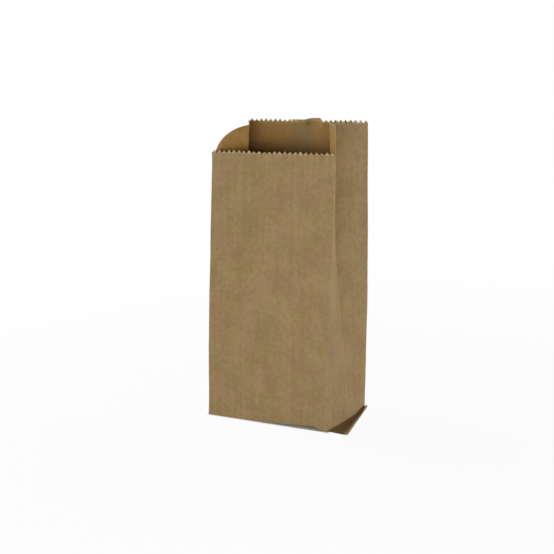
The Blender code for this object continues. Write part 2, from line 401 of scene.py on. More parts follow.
@dataclass
class PaperSheet:
    """The outer surface of the paper as points and faces, with each point's place on the flat sheet."""

    names: dict[Any, int] = field(default_factory=dict)
    places: list[Vector] = field(default_factory=list)
    plans: list[tuple[float, float]] = field(default_factory=list)
    edge_marks: list[float] = field(default_factory=list)
    layers: list[float] = field(default_factory=list)
    freedom: list[float] = field(default_factory=list)
    faces: list[tuple[int, ...]] = field(default_factory=list)

    def point(
        self,
        name: Any,
        place: Vector,
        plan: tuple[float, float],
        edge: float = 0.0,
        layers: float = 0.5,
        free: float = 0.0,
    ) -> int:
        """Adds a point the first time its name is used.

        Args:
            name: What tells the point from the others.
            place: Where it is.
            plan: Where it lies on the flat sheet.
            edge: How near it is to a cut edge, 1 on the edge.
            layers: Share of the doubled thickness that the paper has there.
            free: How much the point may wave.

        Returns:
            The point's number.
        """
        if name not in self.names:
            self.names[name] = len(self.places)
            self.places.append(place)
            self.plans.append(plan)
            self.edge_marks.append(edge)
            self.layers.append(layers)
            self.freedom.append(free)
        return self.names[name]

    def face(self, corners: Sequence[int]) -> None:
        """Adds a face, its corners counter-clockwise seen from outside."""
        self.faces.append(tuple(corners))


@dataclass
class LunchBag:
    """The whole bag: one sheet folded into four walls and a flat base."""

    cut: SheetCut = field(default_factory=SheetCut)
    curl: CornerCurl = field(default_factory=CornerCurl)
    back_flap: float = 0.044
    layer_gap: float = 0.0001
    tuck_clearance: float = 0.0005
    ear_front: float = 0.0215
    ear_back: float = 0.0028
    ear_reach: float = 0.0010
    ear_tip_radius: float = 0.0028
    ear_rim: float = 0.0016
    ear_lift: float = 0.0022
    ear_fold_radius: float = 0.0008
    ear_rows: int = 12
    arch_rows: int = 3
    ear_bend: float = 0.10
    ear_crowding: float = 1.8
    ear_rim_span: tuple[float, float] = (0.30, 0.85)
    ear_rim_share: float = 0.12
    ear_lift_start: float = 0.75
    ear_edge_sag: float = 0.25
    lap_step_height: float = 0.004
    lap_freedom: float = 0.4
    seam_drop: float = 0.25
    tab_width: float = 0.0185
    tab_rise: float = 0.0004
    tab_peak: float = 0.68
    tab_drop: float = 0.30
    tab_end_drop: float = 0.60
    tab_middle: float = 0.0100
    tab_halves: tuple[float, float] = (0.0060, 0.0105)
    tab_below: float = 0.011
    tab_above: float = 0.004
    tab_lean: float = 0.0090
    tab_lift: float = 0.0012
    edge_span: tuple[float, float] = (-0.001, 0.003)
    free_heights: tuple[float, float] = (0.004, 0.030)
    wave: float = 0.00040
    wave_scale: float = 22.0
    crumple: float = 0.00012
    crumple_scale: float = 95.0
    curl_slack: float = 2.0
    sharp_angle: float = math.radians(50.0)
    seed: int = 7

    def __post_init__(self) -> None:
        """Works out the levels of the base's layers and the columns and rows of the walls."""
        self.stance = Stance(self.cut)
        layer = self.cut.paper + self.layer_gap
        self.tuck_level = 2.0 * layer
        self.levels = {
            Panel.FRONT: 0.0,
            Panel.BACK: layer,
            Panel.LEFT: self.tuck_level,
            Panel.RIGHT: self.tuck_level + self.cut.paper + layer,
        }
        self.front_flap = self.back_flap + self.cut.lip_step
        self.sheet = PaperSheet()
        self.columns = [(panel, across) for panel in Panel for across in self.cut.columns(panel)]
        self.rows = self.row_heights()
        self.lip_row = self.rows.index(self.cut.lip_valley)
        self.teeth: dict[int, tuple[float, float]] = {}
        self.chance = random.Random(self.seed)

    def row_heights(self) -> list[float]:
        """Works out the rows of the walls.

        Returns:
            Heights from the table to the valleys of the top.
        """
        low = round(self.cut.lip_valley / self.cut.row_height)
        high = round(2.0 * self.cut.lip_step / self.cut.row_height)
        rows = [self.cut.lip_valley * i / low for i in range(low)]
        return rows + [self.cut.lip_valley + self.cut.lip_step * i / high for i in range(high + 1)]

    def tooth_form(self, number: int) -> tuple[float, float]:
        """Draws the form of one tooth at random, the first time it is asked for.

        Args:
            number: The tooth's number.

        Returns:
            Its height, as a share of a new tooth, and how far its tip is bent.
        """
        if number not in self.teeth:
            height = 1.0 - self.cut.tooth_wear * self.chance.random()
            bend = self.cut.tooth_bend * self.chance.uniform(-1.0, 1.0)
            self.teeth[number] = (height, bend)
        return self.teeth[number]

    def flat_point(self, panel: Panel, across: float, up: float) -> Vector:
        """Finds a point of a wall before its folds are rounded.

        Args:
            panel: The panel.
            across: Distance across it.
            up: Height along the paper.

        Returns:
            The point.
        """
        stance = self.stance
        if panel is Panel.FRONT:
            place = stance.corner(-1, -1, up).lerp(stance.corner(1, -1, up), across / self.cut.width)
            place.z += stance.arch_lift(place.x, up)
            return place
        if panel is Panel.BACK:
            return stance.corner(1, 1, up).lerp(stance.corner(-1, 1, up), across / self.cut.width)
        side = 1 if panel is Panel.RIGHT else -1
        half = self.cut.gusset / 2
        if across <= half:
            return stance.gusset_half(side, -side, across, up)
        from_edge = self.cut.gusset - across
        if panel is Panel.LEFT and up > self.cut.lip_valley:
            return self.curl.rolled(stance, from_edge, up)
        return stance.gusset_half(side, side, from_edge, up)

    def around_point(self, around: float, up: float) -> Vector:
        """Finds a point of the walls by its distance round the tube.

        Args:
            around: The distance.
            up: Height along the paper.

        Returns:
            The point.
        """
        around %= self.cut.around
        panel = max((p for p in Panel if self.cut.panel_start(p) <= around), key=lambda p: p.value)
        return self.flat_point(panel, around - self.cut.panel_start(panel), up)

    def wall_point(self, panel: Panel, across: float, up: float) -> Vector:
        """Finds a point of a wall, with the upright folds rounded.

        Args:
            panel: The panel.
            across: Distance across it.
            up: Height along the paper.

        Returns:
            The point.
        """
        width = self.cut.panel_width(panel)
        folds = [0.0, width] if panel in (Panel.FRONT, Panel.BACK) else [0.0, width / 2, width]
        nearest = min(folds, key=lambda fold: abs(across - fold))
        radius = self.stance.fold_radius * between(up, 0.0, self.stance.fold_radius_height)
        around = self.cut.panel_start(panel) + nearest
        if around % self.cut.around in (0.0, self.cut.width):
            radius *= 1.0 - between(up, self.cut.lip_valley - self.stance.lip_blend, self.cut.lip_valley)
        offset = across - nearest
        if radius < 1e-6 or abs(offset) >= radius:
            return self.flat_point(panel, across, up)
        share = (offset + radius) / (2.0 * radius)
        before = self.around_point(around - radius, up)
        at_fold = self.around_point(around, up)
        after = self.around_point(around + radius, up)
        return before.lerp(at_fold, share).lerp(at_fold.lerp(after, share), share)

    def seam_tab(self, across: float, up: float) -> Vector:
        """Works out how the paper beside the top of the seam leans back and rises.

        Args:
            across: Distance across the back.
            up: Height along the paper.

        Returns:
            The move.
        """
        middle = self.cut.seam_start - self.tab_middle
        across_share = 1.0 - between(abs(across - middle), *self.tab_halves)
        up_share = between(up, self.cut.height - self.tab_below, self.cut.height + self.tab_above)
        return Vector((0.0, self.tab_lean, self.tab_lift)) * across_share * up_share

    def placed(self, panel: Panel, across: float, up: float) -> Vector:
        """Finds a point of a wall with the lapped seam and its tab taken in.

        Args:
            panel: The panel.
            across: Distance across it.
            up: Height along the paper.

        Returns:
            The point.
        """
        place = self.wall_point(panel, across, up)
        if panel is Panel.BACK:
            place += self.seam_tab(across, up)
            if self.on_lap(across):
                place.y += self.cut.paper * between(up, 0.0, self.lap_step_height)
        return place

    def on_lap(self, across: float) -> bool:
        """Says whether a place across the back is inside the lap."""
        inset = self.cut.fold_strip / 2
        return self.cut.seam_start + inset < across < self.cut.seam_end - inset

    def layer_share(self, panel: Panel, across: float) -> float:
        """Share of the doubled thickness at a place: all of it inside the lap."""
        return 1.0 if panel is Panel.BACK and self.on_lap(across) else 0.5

    def plan(self, panel: Panel, across: float, up: float) -> tuple[float, float]:
        """Place on the flat sheet."""
        return (self.cut.panel_start(panel) + across, up)

    def freedom(self, panel: Panel, across: float, up: float) -> float:
        """Works out how freely the paper waves: held at the foot, slack in the rolled corner.

        Args:
            panel: The panel.
            across: Distance across it.
            up: Height along the paper.

        Returns:
            The share of the full wave, more than 1 in the rolled corner.
        """
        free = between(up, *self.free_heights)
        if panel is Panel.LEFT and across > self.cut.gusset / 2:
            free *= 1.0 + self.curl_slack * between(up, self.cut.lip_valley, self.cut.height)
        return free

    def wall(self, column: int, row: int, panel: Panel) -> int:
        """Finds the mesh point where a column meets a row.

        Args:
            column: Number of the column, which may run past the last one.
            row: Number of the row.
            panel: The panel whose face is being made, for the feet and the free edges of a corner.

        Returns:
            The point's number.
        """
        index = column % len(self.columns)
        start_panel, across = self.columns[index]
        layers = self.layer_share(start_panel, across)
        if row == 0:
            name = ("foot", start_panel, across) if across > 0.0 else ("foot", index, panel)
            place = self.wall_point(start_panel, across, 0.0)
            place.z += self.levels[start_panel if across > 0.0 else panel]
            return self.sheet.point(name, place, self.plan(start_panel, across, 0.0), layers=layers)
        up = self.rows[row]
        place = self.placed(start_panel, across, up)
        plan = self.plan(start_panel, across, up)
        if panel is Panel.LEFT and start_panel is Panel.FRONT:
            place = self.placed(Panel.LEFT, self.cut.gusset, up)
        top = self.cut.lip_valley if panel is Panel.FRONT else self.cut.top_valley
        edge = 1.0 - between(top - up, *self.edge_span)
        free = self.freedom(start_panel, across, up)
        if layers == 1.0:
            free *= self.lap_freedom
        return self.sheet.point(("wall", index, row), place, plan, edge, layers, free)

    def tip(self, column: int, panel: Panel) -> int | None:
        """Finds the mesh point on the toothed edge above a column.

        Args:
            column: Number of the column, which may run past the last one.
            panel: The panel whose edge is being made.

        Returns:
            The point's number, or None where the edge is in a valley.
        """
        index = column % len(self.columns)
        start_panel, across = self.columns[index]
        if start_panel is not panel:
            return None
        if panel is Panel.BACK and abs(across - self.cut.seam_start) < 1e-6:
            return self.seam_corner(column)
        tab_share = (self.cut.seam_start - across) / self.tab_width
        if panel is Panel.BACK and 0.0 < tab_share < 1.0:
            return self.tab_point(index, across, tab_share)
        number, share = self.cut.tooth_at(panel, across)
        if share < 1e-4:
            return None
        height, bend = (1.0, 0.0) if number < 0 else self.tooth_form(number)
        valley = self.cut.lip_valley if panel is Panel.FRONT else self.cut.top_valley
        up = valley + self.cut.tooth_height * share * height
        place = self.placed(panel, across, up)
        beside, below = 0.0001, 0.001
        away = self.placed(panel, across + beside, up - below) - self.placed(panel, across, up - below)
        outward = away.cross(Vector((0.0, 0.0, 1.0))).normalized()
        place += outward * bend * share
        layers = self.layer_share(panel, across)
        free = self.freedom(panel, across, up)
        return self.sheet.point(("tip", index), place, self.plan(panel, across, up), 1.0, layers, free)

    def tab_point(self, index: int, across: float, share: float) -> int:
        """Finds the mesh point on the smooth edge of the tab beside the seam.

        Args:
            index: Number of the column.
            across: Distance across the back.
            share: Place along the tab, from 0 at the seam to 1.

        Returns:
            The point's number.
        """
        fall = (self.cut.tooth_height * self.tab_end_drop + self.tab_rise) * between(share, self.tab_peak, 1.0)
        rise = self.tab_rise * min(share / self.tab_peak, 1.0)
        up = self.cut.height - self.cut.tooth_height * self.tab_drop + rise - fall
        return self.back_edge(("tip", index), across, up)

    def back_edge(self, name: Any, across: float, up: float) -> int:
        """Adds a point of the back's edge that is free to wave, on the tab or the seam.

        Args:
            name: What tells the point from the others.
            across: Distance across the back.
            up: Height along the paper.

        Returns:
            The point's number.
        """
        place = self.placed(Panel.BACK, across, up)
        layers = self.layer_share(Panel.BACK, across)
        return self.sheet.point(name, place, self.plan(Panel.BACK, across, up), 1.0, layers, 1.0)

    def build_walls(self) -> None:
        """The four walls up to their valleys, and the teeth on them."""
        count = len(self.columns)
        for column in range(count):
            panel = self.columns[column][0]
            top = self.lip_row if panel is Panel.FRONT else len(self.rows) - 1
            for row in range(1, top):
                low = [self.wall(column, row, panel), self.wall(column + 1, row, panel)]
                high = [self.wall(column + 1, row + 1, panel), self.wall(column, row + 1, panel)]
                self.sheet.face(low + high)
            self.build_foot(column, panel)
            edge = [self.wall(column, top, panel), self.wall(column + 1, top, panel)]
            tips = [self.tip(column + 1, panel), self.tip(column, panel)]
            if self.on_seam_end(column, panel):
                tips = [self.seam_corner(column + 1), self.seam_corner(column)]
            tips = [tip for tip in tips if tip is not None]
            if tips:
                self.sheet.face(edge + tips)

    def on_seam_end(self, column: int, panel: Panel) -> bool:
        """Says whether a cell of the edge lies in the flat top of the seam."""
        across = self.columns[column][1]
        return panel is Panel.BACK and self.cut.seam_start - 1e-6 <= across < self.cut.seam_end - 1e-6

    def seam_corner(self, column: int) -> int:
        """The mesh point on the flat top of the seam above a column."""
        up = self.cut.height - self.cut.tooth_height * self.seam_drop
        return self.back_edge(("seam", column), self.columns[column][1], up)

    def build_foot(self, column: int, panel: Panel) -> None:
        """Makes the lowest cell of a column, with the higher foot of a corner and the slit beside a tuck.

        Args:
            column: Number of the column.
            panel: The panel that it belongs to.
        """
        across = self.columns[column][1]
        next_panel = self.columns[(column + 1) % len(self.columns)][0]
        corners = [self.wall(column, 0, panel)]
        if panel is Panel.LEFT and across == 0.0:
            corners.append(self.slit_point(self.tuck_clearance))
        if panel is Panel.LEFT and next_panel is not panel:
            corners.append(self.slit_point(self.cut.gusset - self.tuck_clearance))
        corners.append(self.wall(column + 1, 0, panel))
        if panel in (Panel.FRONT, Panel.BACK) and next_panel is not panel:
            corners.append(self.wall(column + 1, 0, next_panel))
        corners += [self.wall(column + 1, 1, panel), self.wall(column, 1, panel)]
        if panel in (Panel.FRONT, Panel.BACK) and across == 0.0:
            corners.append(self.wall(column, 0, Panel((panel.value - 1) % len(Panel))))
        self.sheet.face(corners)

    def slit_point(self, across: float) -> int:
        """Finds the end of the left tuck's fold, just inside a corner of the base.

        Args:
            across: Distance across the left gusset.

        Returns:
            The point's number.
        """
        place = self.wall_point(Panel.LEFT, across, 0.0)
        place.z += self.levels[Panel.LEFT]
        return self.sheet.point(("slit", across), place, self.plan(Panel.LEFT, across, 0.0))

    def feet(self, panel: Panel) -> list[int]:
        """Lists the feet of a panel in order, with both of its corners.

        Args:
            panel: The panel.

        Returns:
            Their numbers.
        """
        count = len(self.columns)
        first = next(i for i in range(count) if self.columns[i][0] is panel)
        inner = [i for i in range(first, count) if self.columns[i][0] is panel]
        return [self.wall(i, 0, panel) for i in inner] + [self.wall(inner[-1] + 1, 0, panel)]

    def flap_edge(
        self, name: str, start: Vector, end: Vector, outward: Vector, plans: Sequence[Vector]
    ) -> list[int]:
        """Makes the toothed free edge of a flap.

        Args:
            name: Name of the flap.
            start: Where the line of valleys starts.
            end: Where it ends.
            outward: The direction in which the teeth stand out.
            plans: Places of start, end and outward on the flat sheet.

        Returns:
            The points of the edge in order.
        """
        length = (end - start).length
        teeth = max(1, round(length / self.cut.tooth_pitch))
        points = []
        for i in range(2 * teeth + 1):
            share = i / (2 * teeth)
            out = self.cut.tooth_height * (i % 2)
            place = start.lerp(end, share) + outward * out
            plan = plans[0].lerp(plans[1], share) + plans[2] * out
            points.append(self.sheet.point((name, i), place, (plan.x, plan.y), 1.0))
        return points

    def flap_end(self, name: str, panel: Panel, depth: float) -> list[int]:
        """Makes the free outline of a long flap: ends folded at 45 degrees up to the middle, then straight.

        Args:
            name: Name of the flap.
            panel: The front or the back.
            depth: Depth of the flap with its teeth.

        Returns:
            The points of the outline in order.
        """
        end = -1 if panel is Panel.FRONT else 1
        half = self.cut.gusset / 2
        free_half = self.cut.width / 2 - half
        level = self.levels[panel]
        start_plan = self.cut.panel_start(panel) + self.cut.width / 2
        edge_y = end * (half - depth + self.cut.tooth_height)
        sides = (end, -end)
        shoulders, corners, plans = [], [], []
        for side in sides:
            x = side * free_half
            across = start_plan - end * x
            shoulders.append(self.sheet.point((name, "shoulder", side), Vector((x, 0.0, level)), (across, -half)))
            corners.append(Vector((x, edge_y, level)))
            plans.append(Vector((across, self.cut.tooth_height - depth)))
        plans.append(Vector((0.0, -1.0)))
        edge = self.flap_edge(name, corners[0], corners[1], Vector((0.0, -end, 0.0)), plans)
        return [shoulders[0]] + edge + [shoulders[1]]

    def build_front_flap(self) -> None:
        """The last flap: rows under the arched front fold, and then one flat piece to its toothed edge."""
        feet = self.feet(Panel.FRONT)
        pitch = self.cut.tooth_pitch
        half_width = self.cut.width / 2
        half_gusset = self.cut.gusset / 2
        rows = [feet]
        for number in range(1, self.arch_rows + 1):
            depth = pitch * number / self.arch_rows
            row = []
            for i in range(len(feet)):
                across = self.sheet.plans[feet[i]][0] if i < len(feet) - 1 else self.cut.width
                squeezed = max(min(across, self.cut.width - depth), depth)
                x = squeezed - half_width
                lift = self.stance.arch_lift(x, 0.0) * (1.0 - ease(depth / pitch))
                place = Vector((x, depth - half_gusset, lift))
                row.append(self.sheet.point(("front_flap", number, round(squeezed, 7)), place, (squeezed, -depth)))
            rows.append(row)
        for low, high in zip(rows, rows[1:]):
            for i in range(len(feet) - 1):
                corners = list(dict.fromkeys((low[i + 1], low[i], high[i], high[i + 1])))
                if len(corners) > 2:
                    self.sheet.face(corners)
        last = list(dict.fromkeys(rows[-1]))
        self.sheet.face(last[::-1] + self.flap_end("front_flap", Panel.FRONT, self.front_flap))

    def build_back_flap(self) -> None:
        """The flap under the front flap, one flat piece."""
        feet = self.feet(Panel.BACK)
        self.sheet.face(feet[::-1] + self.flap_end("back_flap", Panel.BACK, self.back_flap))

    def tuck_outline(self, side: int) -> list[int]:
        """Makes the free outline of a tuck, which slants in from the corners of the base and ends in teeth.

        Args:
            side: -1 for the left tuck, drawn from back to front, or 1 for the right one, the other way.

        Returns:
            The points of the outline in order.
        """
        panel = Panel.LEFT if side < 0 else Panel.RIGHT
        half_width = self.cut.width / 2
        inset = self.cut.tooth_pitch + self.tuck_clearance
        half = self.cut.gusset / 2 - inset
        slant_x = side * (half_width - inset - self.tuck_clearance)
        edge_x = side * (half_width - self.back_flap + self.cut.tooth_height)
        middle = self.cut.panel_start(panel) + self.cut.gusset / 2
        depth = self.back_flap - self.cut.tooth_height
        slants = []
        for s in (1, -1):
            place = Vector((slant_x, -side * s * half, self.tuck_level))
            slants.append(self.sheet.point(("tuck", side, "slant", s), place, (middle - s * half, -inset)))
        start = Vector((edge_x, -side * half, self.tuck_level))
        end = Vector((edge_x, side * half, self.tuck_level))
        plans = [Vector((middle - half, -depth)), Vector((middle + half, -depth)), Vector((0.0, -1.0))]
        edge = self.flap_edge(f"tuck_{panel.name}", start, end, Vector((-side, 0.0, 0.0)), plans)
        return [slants[0]] + edge + [slants[1]]

    def build_left_tuck(self) -> None:
        """The end of the left gusset, folded in over the base."""
        feet = self.feet(Panel.LEFT)[1:-1]
        slits = [self.slit_point(self.tuck_clearance), self.slit_point(self.cut.gusset - self.tuck_clearance)]
        self.sheet.face([slits[1]] + feet[::-1] + [slits[0]] + self.tuck_outline(-1))

    def ear_fold(self, share: float) -> Vector:
        """Finds a point on the outer fold of the ear, whose front tip is rounded.

        Args:
            share: From 0 at the front to 1 at the back.

        Returns:
            The point, at the height of the table.
        """
        half_width = self.cut.width / 2
        half = self.cut.gusset / 2
        tip = Vector((half_width + self.ear_front, -half - self.ear_reach, 0.0))
        back = Vector((half_width + self.ear_back, half, 0.0))
        start = tip - Vector((self.ear_tip_radius, 0.0, 0.0))
        turned = tip.lerp(back, self.ear_tip_radius / (back - tip).length)
        if share < self.ear_bend:
            t = share / self.ear_bend
            return start.lerp(tip, t).lerp(tip.lerp(turned, t), t)
        return turned.lerp(back, (share - self.ear_bend) / (1.0 - self.ear_bend))

    def ear_top(self, number: int, foot: Vector, along: float) -> tuple[Vector, float]:
        """Works out a point on the upper side of the ear.

        Args:
            number: Its row, from 1 beside the wall to the last one on the outer fold.
            foot: The foot of the wall beside it.
            along: From 0 at the front to 1 at the back.

        Returns:
            The point, and its distance from the wall along the paper.
        """
        fold = self.ear_fold(along)
        start = Vector((foot.x, foot.y, 0.0))
        width = (fold - start).length
        reach = 1.0 - (1.0 - number / self.ear_rows) ** self.ear_crowding
        place = start.lerp(fold, reach)
        outer = between(reach, *self.ear_rim_span) * min(self.ear_rim, self.ear_rim_share * width)
        outer += self.ear_lift * between(along, self.ear_lift_start, 1.0) * reach
        from_fold = min((1.0 - reach) * width / self.ear_fold_radius, 1.0)
        place.z = self.levels[Panel.RIGHT] + outer * math.sqrt(1.0 - (1.0 - from_fold) ** 2)
        if number == self.ear_rows:
            gap = self.levels[Panel.RIGHT] - self.tuck_level
            place.z = self.levels[Panel.RIGHT] - self.ear_edge_sag * gap
        return place, width * reach

    def build_right_ear(self) -> None:
        """The end of the right gusset: it stands out on the table as a puffed fold, and tucks in below itself."""
        feet = self.feet(Panel.RIGHT)
        start = self.cut.panel_start(Panel.RIGHT)
        last = len(feet) - 1
        rows: list[list[int]] = [feet]
        for number in range(1, self.ear_rows + 1):
            row = []
            for k, foot in enumerate(feet):
                along = k / last
                place, out = self.ear_top(number, self.sheet.places[foot], along)
                row.append(self.sheet.point(("ear", number, k), place, (start + self.cut.gusset * along, -out)))
            rows.append(row)
        lower = []
        for k in range(last + 1):
            fold = self.ear_fold(k / last)
            place = Vector((fold.x, fold.y, self.tuck_level))
            plan = (start + self.cut.gusset * k / last, self.sheet.plans[rows[-1][k]][1])
            lower.append(self.sheet.point(("ear", "lower", k), place, plan))
        rows.append(lower)
        for low, high in zip(rows, rows[1:]):
            for k in range(last):
                self.sheet.face([low[k + 1], low[k], high[k], high[k + 1]])
        turn_x = self.cut.width / 2 + self.tuck_clearance
        turn_y = self.cut.gusset / 2 - self.tuck_clearance
        turns = []
        for s in (-1, 1):
            place = Vector((turn_x, s * turn_y, self.tuck_level))
            plan = (start + self.cut.gusset / 2 + s * turn_y, -2.0 * self.tuck_clearance)
            turns.append(self.sheet.point(("ear", "turn", s), place, plan))
        self.sheet.face(lower[::-1] + [turns[0]] + self.tuck_outline(1) + [turns[1]])

    def outer_mesh(self) -> bpy.types.Mesh:
        """Makes the outer surface, gently waved.

        Returns:
            The mesh, with the flat sheet's plan as its texture map and the cut edges marked.
        """
        sheet = self.sheet
        shape = bmesh.new()
        points = [shape.verts.new(place) for place in sheet.places]
        plan_layer = shape.loops.layers.uv.new(PLAN_MAP)
        half_around = self.cut.around / 2
        for corners in sheet.faces:
            face = shape.faces.new([points[i] for i in corners])
            face.smooth = True
            far = max(sheet.plans[i][0] for i in corners)
            for loop, i in zip(face.loops, corners):
                u, v = sheet.plans[i]
                loop[plan_layer].uv = (u + self.cut.around if far - u > half_around else u, v)
        shape.normal_update()
        for i, point in enumerate(points):
            u, v = sheet.plans[i]
            turn = 2.0 * math.pi * u / self.cut.around
            ring = Vector((math.cos(turn), math.sin(turn), 0.0)) * self.cut.around / (2.0 * math.pi)
            spot = ring + Vector((0.0, 0.0, v))
            rise = self.wave * noise(spot * self.wave_scale) + self.crumple * noise(spot * self.crumple_scale)
            point.co += point.normal * rise * sheet.freedom[i]
        mesh = bpy.data.meshes.new(BAG_NAME)
        shape.to_mesh(mesh)
        shape.free()
        marks = mesh.attributes.new(EDGE_MARK, "FLOAT", "POINT")
        marks.data.foreach_set("value", sheet.edge_marks)
        return mesh

    def mark_inside(self, bag: bpy.types.Object, solid: bpy.types.Mesh) -> None:
        """Marks the points on the bag's inner side, for the finish.

        Args:
            bag: The bag, with the vertex group that its thickness filled.
            solid: The mesh that gets the mark.
        """
        group = bag.vertex_groups["inside"].index
        marks = solid.attributes.new(INSIDE_MARK, "FLOAT", "POINT")
        for point in solid.vertices:
            marks.data[point.index].value = sum(g.weight for g in point.groups if g.group == group)

    def drop_loose(self, solid: bpy.types.Mesh) -> None:
        """Takes out the points that no face uses.

        Args:
            solid: The mesh that is cleaned.
        """
        shape = bmesh.new()
        shape.from_mesh(solid)
        loose = [point for point in shape.verts if not point.link_faces]
        bmesh.ops.delete(shape, geom=loose, context="VERTS")
        shape.to_mesh(solid)
        shape.free()

    def build(self) -> bpy.types.Object:
        """Folds the sheet and gives it the thickness of the paper, doubled along the seam.

        Returns:
            The bag, its modifier applied.
        """
        self.build_walls()
        self.build_front_flap()
        self.build_back_flap()
        self.build_left_tuck()
        self.build_right_ear()
        mesh = self.outer_mesh()
        bag = bpy.data.objects.new(BAG_NAME, mesh)
        bpy.context.scene.collection.objects.link(bag)
        layers = bag.vertex_groups.new(name="layers")
        for i, share in enumerate(self.sheet.layers):
            layers.add([i], share, "REPLACE")
        thickness = bag.modifiers.new("paper", "SOLIDIFY")
        thickness.thickness = 2.0 * self.cut.paper
        thickness.offset = -1.0
        thickness.use_even_offset = True
        thickness.use_quality_normals = True
        thickness.vertex_group = layers.name
        thickness.shell_vertex_group = bag.vertex_groups.new(name="inside").name
        graph = bpy.context.evaluated_depsgraph_get()
        solid = bpy.data.meshes.new_from_object(bag.evaluated_get(graph))
        bag.modifiers.clear()
        bag.data = solid
        bag.data.name = BAG_NAME
        self.mark_inside(bag, solid)
        bag.vertex_groups.clear()
        self.drop_loose(solid)
        solid.set_sharp_from_angle(angle=self.sharp_angle)
        return bag


class Wire:
    """One shader socket. Arithmetic on wires adds Math nodes to their tree."""

    def __init__(self, bench: "NodeBench", socket: bpy.types.NodeSocket) -> None:
        """Keeps the tree's bench and the socket."""
        self.bench = bench
        self.socket = socket

    def maths(self, operation: str, *values: "Wire | float") -> "Wire":
        """Adds one Math node on these values."""
        return self.bench.node("ShaderNodeMath", {"operation": operation}, dict(enumerate(values)))

    def __add__(self, other: "Wire | float") -> "Wire":
        """This plus another value."""
        return self.maths("ADD", self, other)

    def __radd__(self, other: float) -> "Wire":
        """A number plus this."""
        return self.maths("ADD", other, self)

    def __sub__(self, other: "Wire | float") -> "Wire":
        """This less another value."""
        return self.maths("SUBTRACT", self, other)

    def __rsub__(self, other: float) -> "Wire":
        """A number less this."""
        return self.maths("SUBTRACT", other, self)

    def __mul__(self, other: "Wire | float") -> "Wire":
        """This times another value."""
        return self.maths("MULTIPLY", self, other)

    def __rmul__(self, other: float) -> "Wire":
        """A number times this."""
        return self.maths("MULTIPLY", other, self)

    def __abs__(self) -> "Wire":
        """This without its sign."""
        return self.maths("ABSOLUTE", self)

    def least(self, other: "Wire | float") -> "Wire":
        """The smaller of two values."""
        return self.maths("MINIMUM", self, other)

    def most(self, other: "Wire | float") -> "Wire":
        """The larger of two values."""
        return self.maths("MAXIMUM", self, other)

    def over(self, other: "Wire | float") -> "Wire":
        """1 where this is greater than another value, and 0 elsewhere."""
        return self.maths("GREATER_THAN", self, other)

    def ramp(self, low: float, high: float) -> "Wire":
        """Rises smoothly from 0 at the low end to 1 at the high end, or falls if low is the larger.

        Args:
            low: Value at which it is 0.
            high: Value at which it is 1.

        Returns:
            The wire of the ramp.
        """
        settings = {"interpolation_type": "SMOOTHSTEP"}
        sockets: dict[str, Any] = {"Value": self, "From Min": low, "From Max": high}
        if low > high:
            sockets.update({"From Min": high, "From Max": low, "To Min": 1.0, "To Max": 0.0})
        return self.bench.node("ShaderNodeMapRange", settings, sockets)


class NodeBench:
    """The node tree of one finish, and the one method that adds a node to it."""

    def __init__(self, tree: bpy.types.NodeTree) -> None:
        """Clears the tree."""
        self.tree = tree
        tree.nodes.clear()

    def node(
        self,
        kind: str,
        settings: Mapping[str, Any] | None = None,
        sockets: Mapping[Any, Any] | None = None,
        output: int | str = 0,
    ) -> Wire:
        """Adds a node.

        Args:
            kind: Type of the node.
            settings: Its own settings, set first.
            sockets: Values or wires for its inputs, by name or number.
            output: The output to hand back, by name or number.

        Returns:
            The wire of that output.
        """
        added = self.tree.nodes.new(kind)
        for name, value in (settings or {}).items():
            setattr(added, name, value)
        for name, value in (sockets or {}).items():
            if isinstance(value, Wire):
                self.tree.links.new(value.socket, added.inputs[name])
            else:
                added.inputs[name].default_value = value
        return Wire(self, added.outputs[output]) if len(added.outputs) else Wire(self, added.inputs[0])

    def other(self, wire: Wire, output: int | str) -> Wire:
        """Another output of the node that a wire comes from."""
        return Wire(self, wire.socket.node.outputs[output])

    def blend(self, share: Wire | float, first: Any, second: Any) -> Wire:
        """Mixes two colours."""
        return self.node("ShaderNodeMix", {"data_type": "RGBA"}, {0: share, 6: first, 7: second}, 2)

    def grain(self, place: Wire, scale: float, detail: float, roughness: float = 0.5) -> Wire:
        """Noise about zero, from -0.5 to 0.5."""
        sockets = {"Vector": place, "Scale": scale, "Detail": detail, "Roughness": roughness}
        return self.node("ShaderNodeTexNoise", {}, sockets) - 0.5


Colour = tuple[float, float, float, float]


@dataclass(frozen=True)
class CreaseWearAndHighlight:
    """A faint upright crease in the front: rubbed lighter, with a painted highlight where the crease catches
    light.
    """

    across: float
    below_lip: float
    length: float
    half_width: float
    strength: float


@dataclass(frozen=True)
class Grains:
    """The noises of the paper, each about zero."""

    clouds: Wire
    drifts: Wire
    tints: Wire
    fibres: Wire
    strands: Wire
    streaks: Wire
    tooth: Wire
    flecks: Wire
    chips: Wire


